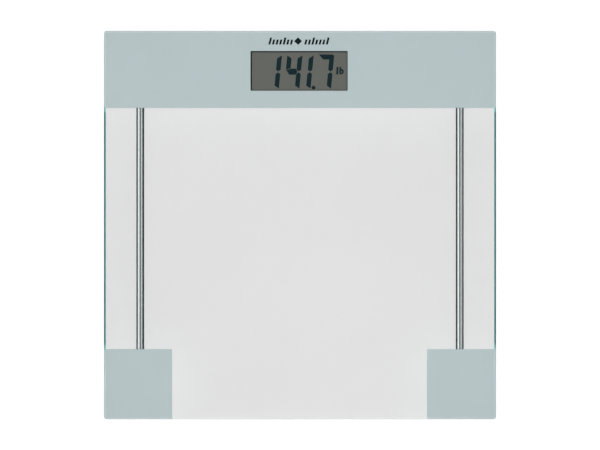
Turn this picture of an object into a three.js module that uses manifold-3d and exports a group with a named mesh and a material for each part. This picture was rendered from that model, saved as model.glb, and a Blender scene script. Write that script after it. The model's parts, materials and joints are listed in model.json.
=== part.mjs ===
// Digital bathroom scale: a square toughened-glass platform on a display bar at the back and two
// corner pods at the front, joined by two chromed tubes that carry the sensor wires.
// Millimetres, +Z up. The origin is on the floor under the middle of the platform; +Y points to the
// display, away from the person standing on the scale, and +X to their right.
import * as THREE from "three";
import { mergeVertices } from "three/addons/utils/BufferGeometryUtils.js";
import Module from "manifold-3d";

const wasm = await Module();
wasm.setup();

// ---------------------------------------------------------------- driving dimensions
const PLATFORM_W = 303; // along X
const PLATFORM_D = 300; // along Y
const HEIGHT = 23; // floor to the top of the glass
const GLASS_T = 6;
const GLASS_CORNER_R = 2.2;
const GLASS_ARRIS = 1; // ground chamfer along every glass edge

const BAND_D = 59.3; // printed band over the display bar
const SQUARE_W = 53.1; // printed squares over the corner pods
const SQUARE_W_LEFT = 52.4; // the left one is printed a little narrower
const SQUARE_D = 53.8;
const WINDOW_W = 75.25; // clear window left in the band for the display
const WINDOW_D = 30.8;
const WINDOW_FROM_BACK = 15.5;
const WINDOW_X = -0.67; // the print sits a little to the left on the glass
const WINDOW_BACK = 0.2; // and a little further back than the display under it
const BAR_D = 53.2; // the mouldings stop about 3 mm inside the prints that hide them
const POD_W = 46.7;
const POD_D = 47.8;
const OVERHANG = 3.2; // of the glass past the mouldings

const TUBE_X = 123.9;
const TUBE_R = 3;
const TUBE_BORE_R = 2.5;
const TUBE_Z = 9.9;
const TUBE_GRIP = 3.4; // how far a tube reaches into each moulding

const WALL = 2;
const SEAT_GAP = 0.05; // left between faces that touch
const INK_GAP = 0.1; // left between the glass and its print
const INK_T = 0.2;
const TAPE_T = 0.8;
const COVER_Z = 3.2; // underside of the covers, clear of the floor
const COVER_T = 2;

const CELL_SIDE = 34; // sensor plate
const CELL_Z = 9.6;
const CELL_T = 2;
const FOOT_R = 15;
const FOOT_GAP = 0.6; // running gap round a foot in its opening
const PRESS_TRAVEL = 0.5; // how far a foot gives under full load
const BUTTON_TRAVEL = 0.5;

// ---------------------------------------------------------------- worked-out places
const GLASS_Z = HEIGHT - GLASS_T;
const INK_Z = GLASS_Z - INK_GAP - INK_T;
const TAPE_Z = INK_Z - SEAT_GAP - TAPE_T;
const DECK_TOP = TAPE_Z - SEAT_GAP;
const DECK_Z = DECK_TOP - WALL;
const COVER_TOP = COVER_Z + COVER_T;
const WALL_Z = COVER_TOP + SEAT_GAP;
const CELL_TOP = CELL_Z + CELL_T;

const HALF_W = PLATFORM_W / 2;
const HALF_D = PLATFORM_D / 2;
const WINDOW_Y = HALF_D - WINDOW_FROM_BACK - WINDOW_D / 2;

// Plan rectangles as { x, y, w, d }, x and y at the middle.
const BAR = {
  x: 0,
  y: HALF_D - OVERHANG - BAR_D / 2,
  w: PLATFORM_W - 2 * OVERHANG,
  d: BAR_D,
};
const POD = {
  x: HALF_W - OVERHANG - POD_W / 2,
  y: -HALF_D + OVERHANG + POD_D / 2,
  w: POD_W,
  d: POD_D,
};
const BAR_CORNER_R = 6;
const POD_CORNER_R = 5;
const CELL_REAR = { x: POD.x, y: BAR.y };
const CELL_FRONT = { x: POD.x, y: POD.y };

// ---------------------------------------------------------------- materials
const paint = (color, roughness, metalness = 0, extra = {}) =>
  new THREE.MeshStandardMaterial({ color, roughness, metalness, ...extra });
const CLEAR_GLASS = paint(0xdcecea, 0.05, 0, { transparent: true, opacity: 0.35 });
const SILVER_INK = paint(0xb5c4c6, 0.45);
const FOAM = paint(0x2a2c2d, 0.95);
const SHELL = paint(0xaeb4b6, 0.5);
const CHROME = paint(0xcfd6d6, 0.12, 1);
const SPRING_STEEL = paint(0xa9abad, 0.35, 1);
const SILICONE = paint(0xe8e6df, 0.6);
const FOOT_PLASTIC = paint(0x8d9295, 0.55);
const RUBBER = paint(0x3a3c3e, 0.9);
const BOARD = paint(0x1f5a37, 0.5);
const DISPLAY = paint(0x666863, 0.35);
const BLACK_PLASTIC = paint(0x17181a, 0.5);
const CONDUCTIVE_RUBBER = paint(0x55514c, 0.8);
const CELL_CAN = paint(0xc4c7c8, 0.25, 1);
const WIRE = paint(0xa02020, 0.5);
const LABEL = paint(0xe9ebea, 0.6);

// ---------------------------------------------------------------- solids
// A closed three.js geometry as a solid that can be joined and cut.
function solid(geometry) {
  const bare = geometry.clone();
  bare.deleteAttribute("normal");
  bare.deleteAttribute("uv");
  const merged = mergeVertices(bare, 1e-4);
  return new wasm.Manifold(
    new wasm.Mesh({
      numProp: 3,
      vertProperties: merged.attributes.position.array,
      triVerts: new Uint32Array(merged.index.array),
    }),
  );
}

// A solid as a three.js geometry again.
function geometryOf(body) {
  const mesh = body.getMesh();
  const geometry = new THREE.BufferGeometry();
  geometry.setAttribute("position", new THREE.BufferAttribute(mesh.vertProperties, 3));
  geometry.setIndex(new THREE.BufferAttribute(mesh.triVerts, 1));
  geometry.computeVertexNormals();
  return geometry;
}

const join = (first, ...rest) => rest.reduce((whole, piece) => whole.add(piece), first);
const cut = (first, ...rest) => rest.reduce((whole, piece) => whole.subtract(piece), first);

// A rectangle in plan with round corners, centred on rect and grown by grow on every side.
function roundedShape(rect, radius, grow = 0) {
  const w = rect.w / 2 + grow;
  const d = rect.d / 2 + grow;
  const r = Math.max(radius + grow, 0.3);
  const { x, y } = rect;
  const shape = new THREE.Shape();
  shape.absarc(x + w - r, y + d - r, r, 0, Math.PI / 2);
  shape.absarc(x - w + r, y + d - r, r, Math.PI / 2, Math.PI);
  shape.absarc(x - w + r, y - d + r, r, Math.PI, Math.PI * 1.5);
  shape.absarc(x + w - r, y - d + r, r, Math.PI * 1.5, Math.PI * 2);
  shape.closePath();
  return shape;
}

// A plan shape pulled up from z0 to z1.
function prism(shape, z0, z1, curveSegments = 2) {
  const options = { depth: z1 - z0, bevelEnabled: false, curveSegments };
  return solid(new THREE.ExtrudeGeometry(shape, options).translate(0, 0, z0));
}

const roundedPrism = (rect, radius, z0, z1, grow = 0, curveSegments = 2) =>
  prism(roundedShape(rect, radius, grow), z0, z1, curveSegments);

function box(x0, x1, y0, y1, z0, z1) {
  const geometry = new THREE.BoxGeometry(x1 - x0, y1 - y0, z1 - z0);
  return solid(geometry.translate((x0 + x1) / 2, (y0 + y1) / 2, (z0 + z1) / 2));
}

const boxAt = (x, y, w, d, z0, z1) => box(x - w / 2, x + w / 2, y - d / 2, y + d / 2, z0, z1);

// An upright cylinder.
function disc(x, y, radius, z0, z1, sides = 24) {
  const geometry = new THREE.CylinderGeometry(radius, radius, z1 - z0, sides).rotateX(Math.PI / 2);
  return solid(geometry.translate(x, y, (z0 + z1) / 2));
}

// A cylinder that lies along Y.
function rod(x, z, radius, y0, y1, sides = 24) {
  const geometry = new THREE.CylinderGeometry(radius, radius, y1 - y0, sides);
  return solid(geometry.translate(x, (y0 + y1) / 2, z));
}

// A turned piece about the upright axis through x, y, from [radius, z] pairs.
function turned(x, y, profile, sides = 24) {
  const points = profile.map(([radius, z]) => new THREE.Vector2(radius, z));
  return solid(new THREE.LatheGeometry(points, sides).rotateX(Math.PI / 2).translate(x, y, 0));
}

const mirrored = (body) => body.mirror([1, 0, 0]);

// ---------------------------------------------------------------- the scene graph
const scale = new THREE.Group();

function place(name, body, material) {
  const mesh = new THREE.Mesh(geometryOf(body), material);
  mesh.name = name;
  scale.add(mesh);
}

// The right-hand body at +X, and its mirror image at -X.
function placePair(name, body, material) {
  place(`${name}_right`, body, material);
  place(`${name}_left`, mirrored(body), material);
}

// ---------------------------------------------------------------- glass and print
function glassPlatform() {
  const inner = { x: 0, y: 0, w: PLATFORM_W - 2 * GLASS_ARRIS, d: PLATFORM_D - 2 * GLASS_ARRIS };
  const geometry = new THREE.ExtrudeGeometry(roundedShape(inner, GLASS_CORNER_R - GLASS_ARRIS), {
    depth: GLASS_T - 2 * GLASS_ARRIS,
    bevelThickness: GLASS_ARRIS,
    bevelSize: GLASS_ARRIS,
    bevelSegments: 2,
    curveSegments: 3,
  });
  return solid(geometry.translate(0, 0, GLASS_Z + GLASS_ARRIS));
}

// A printed patch, width by depth, in a corner of the glass or across it. It stops at the chamfers.
function inkPatch(side, end, width, depth) {
  const x = side * (HALF_W - width / 2);
  const y = end * (HALF_D - depth / 2);
  const platform = { x: 0, y: 0, w: PLATFORM_W - 2 * GLASS_ARRIS, d: PLATFORM_D - 2 * GLASS_ARRIS };
  const whole = roundedPrism(platform, GLASS_CORNER_R - GLASS_ARRIS, INK_Z, INK_Z + INK_T);
  return whole.intersect(boxAt(x, y, width, depth, INK_Z - 1, INK_Z + 1));
}

function bandPrint() {
  const window = { x: WINDOW_X, y: WINDOW_Y + WINDOW_BACK, w: WINDOW_W, d: WINDOW_D };
  return cut(
    inkPatch(0, 1, PLATFORM_W, BAND_D),
    roundedPrism(window, 0.6, INK_Z - 1, INK_Z + 1),
  );
}

place("glass_platform", glassPlatform(), CLEAR_GLASS);
place("display_band_print", bandPrint(), SILVER_INK);
place("corner_print_right", inkPatch(1, -1, SQUARE_W, SQUARE_D), SILVER_INK);
place("corner_print_left", inkPatch(-1, -1, SQUARE_W_LEFT, SQUARE_D), SILVER_INK);

// ---------------------------------------------------------------- adhesive and gasket
const TAPE_RIM = 1; // the tape stops this far inside a moulding's edge
const POD_TAPE_W = 6;

function barTape() {
  const clear = { x: 0, y: WINDOW_Y, w: BAR.w - 14, d: 42 };
  return cut(
    roundedPrism(BAR, BAR_CORNER_R, TAPE_Z, TAPE_Z + TAPE_T, -TAPE_RIM),
    roundedPrism(clear, 1.5, TAPE_Z - 1, TAPE_Z + TAPE_T + 1),
  );
}

function podTape() {
  return cut(
    roundedPrism(POD, POD_CORNER_R, TAPE_Z, TAPE_Z + TAPE_T, -TAPE_RIM),
    roundedPrism(POD, POD_CORNER_R, TAPE_Z - 1, TAPE_Z + TAPE_T + 1, -TAPE_RIM - POD_TAPE_W),
  );
}

place("display_tape", barTape(), FOAM);
placePair("pod_tape", podTape(), FOAM);

// ---------------------------------------------------------------- mouldings
const SCREW_R = 1.15;
const SCREW_HEAD_R = 2.4;
const SCREW_TIP_Z = 11;
const SCREW_SEAT_Z = COVER_Z + 1.1; // floor of the counterbore that holds the head
const BOSS_R = 2.9;
const BAR_SCREWS = [
  [142.3, 99.5],
  [142.3, 141],
  [53, 120.2],
];
const POD_SCREWS = [
  [POD.x - POD.w / 2 + 4.2, POD.y + POD.d / 2 - 4.2],
  [POD.x + POD.w / 2 - 4.2, POD.y - POD.d / 2 + 4.2],
];
const POST_OFFSET = CELL_SIDE / 2 - 2; // corner posts that pinch a sensor plate from above and below
const POST_SIDE = 4;
const CORNERS = [
  [1, 1],
  [1, -1],
  [-1, 1],
  [-1, -1],
];

const postsFor = (cell, z0, z1) =>
  CORNERS.map(([i, j]) =>
    boxAt(cell.x + i * POST_OFFSET, cell.y + j * POST_OFFSET, POST_SIDE, POST_SIDE, z0, z1),
  );

const bossesFor = (screws) => screws.map(([x, y]) => disc(x, y, BOSS_R, WALL_Z, DECK_Z + 1, 16));
const boresFor = (screws) =>
  screws.map(([x, y]) => disc(x, y, SCREW_R + 0.15, WALL_Z - 1, SCREW_TIP_Z + 1, 12));

// A tray that hangs upside down under the glass: a deck with a wall round it.
function tray(rect, radius) {
  return cut(
    roundedPrism(rect, radius, WALL_Z, DECK_TOP, 0, 4),
    roundedPrism(rect, radius, WALL_Z - 1, DECK_Z, -WALL),
  );
}

const COLLAR_R = TUBE_R + 1.4;
const COLLAR_L = 3;
const COLLAR_END = WALL + COLLAR_L;
const tubeCollar = (y0) => rod(TUBE_X, TUBE_Z, COLLAR_R, y0, y0 + COLLAR_END);
const tubeHole = (wallY) => rod(TUBE_X, TUBE_Z, TUBE_R + 0.1, wallY - 8, wallY + 8);

const BAR_FRONT = BAR.y - BAR.d / 2;
const POD_BACK = POD.y + POD.d / 2;

// ---------------------------------------------------------------- display parts, from the glass down
const FRAME = { x: 0, y: WINDOW_Y, w: 84, d: 40 };
const PANEL = { x: 0, y: WINDOW_Y, w: 80, d: 36 };
// The frame's opening sits a little off the window, so its black edge shows at the left and back.
const VIEW = { x: WINDOW_X + 1.2, y: WINDOW_Y - 1, w: WINDOW_W + 0.2, d: WINDOW_D + 0.7 };
const CIRCUIT = { x: 0, y: WINDOW_Y, w: 94, d: 43 };
const BOARD_Z = 9.2;
const BOARD_T = 1.2;
const BOARD_TOP = BOARD_Z + BOARD_T;
const PANEL_Z = 12.95;
const PANEL_T = 2.2;
const FRAME_TOP = 16;
const PEG_X = CIRCUIT.w / 2 - 2.3;
const PEG_Y = 17;
const PEG_R = 1;

// ---------------------------------------------------------------- battery bay, in the bar's cover
const BAY = { x: 77, y: BAR.y, w: 34, d: 27 }; // opening that the battery cover closes
const BAY_LEDGE = 1;
const BAY_CEILING = 9.15;
const BAY_WALL = 1.2;
const BATTERY = { x: BAY.x - 2, y: BAY.y, r: 10, z: 5.35, t: 3.2 };
const CONTACT_T = 0.3;
const CONTACT_W = 4;
const NEGATIVE_Y = BAY.y + 6.3;
const POSITIVE_Y = BAY.y - 6.7;
const LUG_Y = 8; // the battery cover's two hinge lugs, either side of the bay's middle
const LUG_W = 4;
const LUG_Z = COVER_TOP + 0.3;
const LUG_TOP = LUG_Z + 1.2;
const HINGE_X = BAY.x + BAY.w / 2 - 0.3;
const BUTTON = { x: -20, y: 107, r: 3.6 };

function displayHousing() {
  const cells = [CELL_REAR, { x: -CELL_REAR.x, y: CELL_REAR.y }];
  const screws = [...BAR_SCREWS, ...BAR_SCREWS.map(([x, y]) => [-x, y])];
  const pegs = CORNERS.flatMap(([i, j]) => [
    boxAt(i * PEG_X, WINDOW_Y + j * PEG_Y, 4, 4, BOARD_TOP + SEAT_GAP, DECK_Z + 1),
    disc(i * PEG_X, WINDOW_Y + j * PEG_Y, PEG_R, BOARD_Z - 0.3, DECK_Z, 12),
  ]);
  const collar = tubeCollar(BAR_FRONT);
  const body = join(
    tray(BAR, BAR_CORNER_R),
    ...cells.flatMap((cell) => postsFor(cell, CELL_TOP + SEAT_GAP, DECK_Z + 1)),
    ...bossesFor(screws),
    ...pegs,
    collar,
    mirrored(collar),
  );
  return cut(
    body,
    roundedPrism(FRAME, 1, DECK_Z - 1, DECK_TOP + 1, 0.5),
    ...boresFor(screws),
    tubeHole(BAR_FRONT),
    mirrored(tubeHole(BAR_FRONT)),
  );
}

function podHousing() {
  const body = join(
    tray(POD, POD_CORNER_R),
    ...postsFor(CELL_FRONT, CELL_TOP + SEAT_GAP, DECK_Z + 1),
    ...bossesFor(POD_SCREWS),
    tubeCollar(POD_BACK - COLLAR_END),
  );
  return cut(body, ...boresFor(POD_SCREWS), tubeHole(POD_BACK));
}

// A cover plate with a chamfered lower edge.
const COVER_CHAMFER = 1;
function coverPlate(rect, radius) {
  const geometry = new THREE.ExtrudeGeometry(roundedShape(rect, radius, -COVER_CHAMFER), {
    depth: COVER_T - COVER_CHAMFER,
    bevelThickness: COVER_CHAMFER,
    bevelSize: COVER_CHAMFER,
    bevelSegments: 2,
    curveSegments: 4,
  });
  const rounded = solid(geometry.translate(0, 0, COVER_Z + COVER_CHAMFER));
  return rounded.intersect(boxAt(rect.x, rect.y, rect.w + 2, rect.d + 2, COVER_Z - 1, COVER_TOP));
}

// What every cover has at its sensors and screws.
function fitCover(plate, cells, screws) {
  const posts = cells.flatMap((cell) => postsFor(cell, COVER_TOP - 1, CELL_Z - SEAT_GAP));
  return cut(
    join(plate, ...posts),
    ...cells.map((cell) => disc(cell.x, cell.y, FOOT_R + FOOT_GAP, COVER_Z - 1, COVER_TOP + 1, 32)),
    ...screws.map(([x, y]) => disc(x, y, SCREW_R + 0.35, COVER_Z - 1, COVER_TOP + 1, 12)),
    ...screws.map(([x, y]) => disc(x, y, SCREW_HEAD_R + 0.5, COVER_Z - 1, SCREW_SEAT_Z, 16)),
  );
}

const LABEL_RECT = { x: -79, y: BAR.y, w: 42, d: 26 };
const LABEL_T = 0.2;
const LABEL_RECESS = 0.3;

const BAY_MOUTH_TOP = COVER_TOP + 0.1; // the battery cover closes against a ledge at this height

function batteryBay() {
  const outerW = BAY.w + 2 * BAY_WALL;
  const outerD = BAY.d + 2 * BAY_WALL;
  const well = cut(
    boxAt(BAY.x, BAY.y, outerW, outerD, COVER_TOP - 0.5, BAY_CEILING + BAY_WALL),
    boxAt(BAY.x, BAY.y, BAY.w - 2 * BAY_LEDGE, BAY.d - 2 * BAY_LEDGE, COVER_TOP - 1, BAY_CEILING),
  );
  const fence = cut(
    disc(BATTERY.x, BATTERY.y, BATTERY.r + 1.5, COVER_TOP, BAY_CEILING + 0.5, 32),
    disc(BATTERY.x, BATTERY.y, BATTERY.r + 0.4, COVER_TOP - 1, BAY_CEILING, 32),
  );
  const bayLeft = BAY.x - BAY.w / 2;
  return cut(
    join(well, fence),
    box(bayLeft - 2, BATTERY.x, NEGATIVE_Y - 2.4, NEGATIVE_Y + 2.4, 8.5, BAY_CEILING),
    box(bayLeft - 2, BATTERY.x - 4, POSITIVE_Y - 2.4, POSITIVE_Y + 2.4, BAY_MOUTH_TOP, BAY_CEILING),
  );
}

function displayCover() {
  const cells = [CELL_REAR, { x: -CELL_REAR.x, y: CELL_REAR.y }];
  const screws = [...BAR_SCREWS, ...BAR_SCREWS.map(([x, y]) => [-x, y])];
  const lugSlots = [-1, 1].map((side) => {
    const y = BAY.y + side * LUG_Y;
    return box(HINGE_X - 1.8, HINGE_X + 1.8, y - 2.4, y + 2.4, BAY_MOUTH_TOP, LUG_TOP + 0.9);
  });
  const bayLeft = BAY.x - BAY.w / 2;
  return cut(
    join(fitCover(coverPlate(BAR, BAR_CORNER_R), cells, screws), batteryBay()),
    boxAt(BAY.x, BAY.y, BAY.w, BAY.d, COVER_Z - 1, BAY_MOUTH_TOP),
    box(bayLeft, bayLeft + 3, BAY.y - 6, BAY.y + 6, COVER_TOP, COVER_TOP + 1.3),
    ...lugSlots,
    disc(BUTTON.x, BUTTON.y, BUTTON.r + 0.4, COVER_Z - 1, COVER_TOP + 1, 20),
    roundedPrism(LABEL_RECT, 2, COVER_Z - 1, COVER_Z + LABEL_RECESS),
  );
}

place("display_housing", displayHousing(), SHELL);
place("display_cover", displayCover(), SHELL);
placePair("pod_housing", podHousing(), SHELL);
placePair("pod_cover", fitCover(coverPlate(POD, POD_CORNER_R), [CELL_FRONT], POD_SCREWS), SHELL);

// ---------------------------------------------------------------- tubes
function tube() {
  const y0 = POD_BACK - TUBE_GRIP;
  const y1 = BAR_FRONT + TUBE_GRIP;
  return cut(
    rod(TUBE_X, TUBE_Z, TUBE_R, y0, y1, 32),
    rod(TUBE_X, TUBE_Z, TUBE_BORE_R, y0 - 1, y1 + 1, 24),
  );
}

placePair("tube", tube(), CHROME);

// ---------------------------------------------------------------- sensors
const TONGUE_W = 9;
const SENSOR_WINDOW = 24;

// A square steel plate with a U-shaped slot that frees a tongue; the foot bends the tongue's tip.
// The tongue's root points along +X before it is turned.
function sensorPlate() {
  const rect = { x: 0, y: 0, w: CELL_SIDE, d: CELL_SIDE };
  const window = { x: 0, y: 0, w: SENSOR_WINDOW, d: SENSOR_WINDOW };
  const tongue = join(
    box(0, SENSOR_WINDOW / 2 + 1, -TONGUE_W / 2, TONGUE_W / 2, CELL_Z, CELL_TOP),
    disc(0, 0, 6, CELL_Z, CELL_TOP, 20),
  );
  const frame = cut(
    roundedPrism(rect, 2.5, CELL_Z, CELL_TOP),
    roundedPrism(window, 2, CELL_Z - 1, CELL_TOP + 1),
  );
  return join(frame, tongue);
}

// Silicone over the strain gauge, on the tongue's root.
function gaugeSeal() {
  const geometry = new THREE.ExtrudeGeometry(roundedShape({ x: 8.5, y: 0, w: 5.4, d: 5.8 }, 1.6), {
    depth: 0.5,
    bevelThickness: 0.8,
    bevelSize: 0.8,
    bevelSegments: 2,
    curveSegments: 1,
  });
  return solid(geometry.translate(0, 0, CELL_TOP + SEAT_GAP + 0.8));
}

const SENSORS = {
  rear_right: { ...CELL_REAR, turn: 180 },
  rear_left: { x: -CELL_REAR.x, y: CELL_REAR.y, turn: 0 },
  front_right: { ...CELL_FRONT, turn: 90 },
  front_left: { x: -CELL_FRONT.x, y: CELL_FRONT.y, turn: 90 },
};

// ---------------------------------------------------------------- feet
const PAD_R = 13;
const PAD_T = 1.5;
const FLANGE_Z = COVER_TOP + 0.3;
const FLANGE_TOP = FLANGE_Z + 1.5;
const FLANGE_R = CELL_SIDE / 2;
const PUSH_R = 4;
const PUSH_TOP = CELL_Z - PRESS_TRAVEL - SEAT_GAP;

const FOOT_PROFILE = [
  [0, PAD_T + SEAT_GAP],
  [FOOT_R - 0.8, PAD_T + SEAT_GAP],
  [FOOT_R, PAD_T + 0.8],
  [FOOT_R, FLANGE_Z],
  [FLANGE_R, FLANGE_Z],
  [FLANGE_R, FLANGE_TOP],
  [PUSH_R + 1, FLANGE_TOP],
  [PUSH_R, FLANGE_TOP + 0.8],
  [PUSH_R, PUSH_TOP],
  [0, PUSH_TOP],
];
const GROOVE = 0.6;
const PAD_PROFILE = [
  [0, 0],
  [7.4, 0],
  [8, GROOVE],
  [9, GROOVE],
  [9.6, 0],
  [PAD_R - 0.5, 0],
  [PAD_R, 0.5],
  [PAD_R, PAD_T],
  [0, PAD_T],
];

for (const [corner, { x, y, turn }] of Object.entries(SENSORS)) {
  const seat = (body) => body.rotate([0, 0, turn]).translate([x, y, 0]);
  place(`load_cell_${corner}`, seat(sensorPlate()), SPRING_STEEL);
  place(`gauge_seal_${corner}`, seat(gaugeSeal()), SILICONE);
  place(`foot_${corner}`, turned(x, y, FOOT_PROFILE, 28), FOOT_PLASTIC);
  place(`foot_pad_${corner}`, turned(x, y, PAD_PROFILE, 28), RUBBER);
}

// ---------------------------------------------------------------- display stack
function circuitBoard() {
  const parts = [
    [22, 131, 6, 3, 1],
    [30, 124, 3, 4, 0.9],
    [-32, 112, 5, 2.4, 1.1],
    [12, 110, 2.4, 1.6, 0.8],
  ];
  const holes = CORNERS.map(([i, j]) =>
    disc(i * PEG_X, WINDOW_Y + j * PEG_Y, PEG_R + 0.25, BOARD_Z - 1, BOARD_TOP + 1, 12),
  );
  const chips = parts.map(([x, y, w, d, h]) => boxAt(x, y, w, d, BOARD_TOP - 0.2, BOARD_TOP + h));
  return join(cut(roundedPrism(CIRCUIT, 1.5, BOARD_Z, BOARD_TOP), ...holes), ...chips);
}

// The frame sits on the board, holds the panel in a pocket and shows it through a window.
function lcdFrame() {
  return cut(
    roundedPrism(FRAME, 1, BOARD_TOP + SEAT_GAP, FRAME_TOP),
    roundedPrism(PANEL, 0.6, BOARD_TOP - 1, PANEL_Z + PANEL_T + SEAT_GAP, 0.3),
    roundedPrism(VIEW, 0.8, BOARD_TOP - 1, FRAME_TOP + 1),
  );
}

function displayGasket() {
  const z0 = FRAME_TOP + SEAT_GAP;
  const z1 = INK_Z - SEAT_GAP;
  return cut(roundedPrism(FRAME, 1, z0, z1), roundedPrism(VIEW, 0.8, z0 - 1, z1 + 1));
}

const DRIVER_PROFILE = [
  [0, BOARD_TOP + SEAT_GAP],
  [6, BOARD_TOP + SEAT_GAP],
  [5.4, BOARD_TOP + 0.8],
  [3.6, BOARD_TOP + 1.4],
  [0, BOARD_TOP + 1.7],
];

place("circuit_board", circuitBoard(), BOARD);
place("lcd_panel", roundedPrism(PANEL, 0.5, PANEL_Z, PANEL_Z + PANEL_T), DISPLAY);
place("lcd_frame", lcdFrame(), BLACK_PLASTIC);
place("display_gasket", displayGasket(), FOAM);
place(
  "zebra_strip",
  boxAt(0, WINDOW_Y - PANEL.d / 2 + 3, 72, 2, BOARD_TOP + SEAT_GAP, PANEL_Z - SEAT_GAP),
  CONDUCTIVE_RUBBER,
);
place("driver_chip", turned(-8, WINDOW_Y + 3, DRIVER_PROFILE, 20), BLACK_PLASTIC);

// ---------------------------------------------------------------- unit button and its switch
const SWITCH_Z = 6.6;
const PLUNGER_R = 1.7;
const BUTTON_FLANGE_Z = COVER_TOP + 0.1;
const BUTTON_TOP = BUTTON_FLANGE_Z + 0.4;
const PLUNGER_TOP = SWITCH_Z + 0.6;
const BUTTON_PROFILE = [
  [0, COVER_Z + 0.4],
  [BUTTON.r - 1.4, COVER_Z + 0.4],
  [BUTTON.r - 0.3, COVER_Z + 0.2],
  [BUTTON.r, COVER_Z + 0.5],
  [BUTTON.r, BUTTON_FLANGE_Z],
  [BUTTON.r + 1.6, BUTTON_FLANGE_Z],
  [BUTTON.r + 1.6, BUTTON_TOP],
  [0, BUTTON_TOP],
];

place(
  "unit_switch",
  cut(
    boxAt(BUTTON.x, BUTTON.y, 6, 6, SWITCH_Z, BOARD_Z - SEAT_GAP),
    disc(BUTTON.x, BUTTON.y, PLUNGER_R + 0.15, SWITCH_Z - 1, PLUNGER_TOP + BUTTON_TRAVEL + 0.1, 20),
  ),
  BLACK_PLASTIC,
);
place(
  "switch_plunger",
  disc(BUTTON.x, BUTTON.y, PLUNGER_R, BUTTON_TOP + SEAT_GAP, PLUNGER_TOP, 20),
  SILICONE,
);
place("unit_button", turned(BUTTON.x, BUTTON.y, BUTTON_PROFILE, 24), FOOT_PLASTIC);

// ---------------------------------------------------------------- battery, contacts and cover
const BATTERY_TOP = BATTERY.z + BATTERY.t;
const BATTERY_PROFILE = [
  [0, BATTERY.z],
  [BATTERY.r - 0.4, BATTERY.z],
  [BATTERY.r, BATTERY.z + 0.4],
  [BATTERY.r, BATTERY_TOP - 0.7],
  [BATTERY.r - 0.5, BATTERY_TOP - 0.25],
  [BATTERY.r - 1.2, BATTERY_TOP - 0.25],
  [BATTERY.r - 1.5, BATTERY_TOP],
  [0, BATTERY_TOP],
];
const CONTACT_TOP = BOARD_Z - 0.1;
const CONTACT_Z = CONTACT_TOP - CONTACT_T;
const CONTACT_TAIL_X = CIRCUIT.w / 2 - 2;

// A flat leaf over the cell with a dimple that touches its negative face.
function negativeContact() {
  const y0 = NEGATIVE_Y - CONTACT_W / 2;
  return join(
    box(CONTACT_TAIL_X, BATTERY.x + 3, y0, y0 + CONTACT_W, CONTACT_Z, CONTACT_TOP),
    disc(BATTERY.x, NEGATIVE_Y, 1.2, BATTERY_TOP + SEAT_GAP, CONTACT_Z + 0.1, 12),
  );
}

// A strip that turns down beside the cell and touches its rim.
function positiveContact() {
  const tabX = BATTERY.x - 8.7;
  const y0 = POSITIVE_Y - 1;
  return join(
    box(CONTACT_TAIL_X, tabX + CONTACT_T, y0, y0 + 2, CONTACT_Z, CONTACT_TOP),
    box(tabX, tabX + CONTACT_T, y0, y0 + 2, BATTERY.z + 0.5, CONTACT_TOP),
  );
}

// The cover turns on two lugs hooked inside the bay's right-hand edge and closes at the left,
// where two slots free a springy tab with a rubbing nub and a fingernail hollow.
function batteryCover() {
  const left = BAY.x - BAY.w / 2 + 0.3;
  const front = BAY.y - BAY.d / 2 + 0.3;
  const back = BAY.y + BAY.d / 2 - 0.3;
  const lugs = [-1, 1].flatMap((side) => {
    const y = BAY.y + side * LUG_Y;
    return [
      boxAt(HINGE_X - 0.85, y, 1.3, LUG_W, COVER_TOP - 0.5, LUG_TOP),
      box(HINGE_X - 1.5, HINGE_X + 1.2, y - LUG_W / 2, y + LUG_W / 2, LUG_Z, LUG_TOP),
    ];
  });
  const nub = box(left + 1, left + 2.2, BAY.y - 4, BAY.y + 4, COVER_TOP - 0.5, COVER_TOP + 0.9);
  const slots = [-1, 1].map((side) =>
    boxAt(left + 3, BAY.y + side * 5.6, 8, 0.8, COVER_Z - 1, COVER_TOP + 1),
  );
  const hollow = disc(left - 1.5, BAY.y, 4.5, COVER_Z - 1, COVER_Z + 0.7, 24);
  return cut(join(box(left, HINGE_X, front, back, COVER_Z, COVER_TOP), ...lugs, nub), ...slots, hollow);
}

place("battery", turned(BATTERY.x, BATTERY.y, BATTERY_PROFILE, 32), CELL_CAN);
place("battery_contact_negative", negativeContact(), SPRING_STEEL);
place("battery_contact_positive", positiveContact(), SPRING_STEEL);
place("battery_cover", batteryCover(), SHELL);
const LABEL_TOP = COVER_Z + LABEL_RECESS - SEAT_GAP;
place("rating_label", roundedPrism(LABEL_RECT, 2, LABEL_TOP - LABEL_T, LABEL_TOP, -0.5), LABEL);

// ---------------------------------------------------------------- wires
const WIRE_R = 0.9;
const WIRE_END_Z = BOARD_Z - WIRE_R - 0.2;
const SEAL_Z = CELL_TOP + SEAT_GAP + 1;

// Three cores in one bundle, as a tube along a smooth curve through the points.
function wire(points, steps) {
  const path = new THREE.CatmullRomCurve3(points.map((p) => new THREE.Vector3(...p)), false, "centripetal");
  const section = new THREE.Shape();
  section.absarc(0, 0, WIRE_R, 0, Math.PI * 2);
  return solid(
    new THREE.ExtrudeGeometry(section, { steps, extrudePath: path, curveSegments: 3, bevelEnabled: false }),
  );
}

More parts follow.
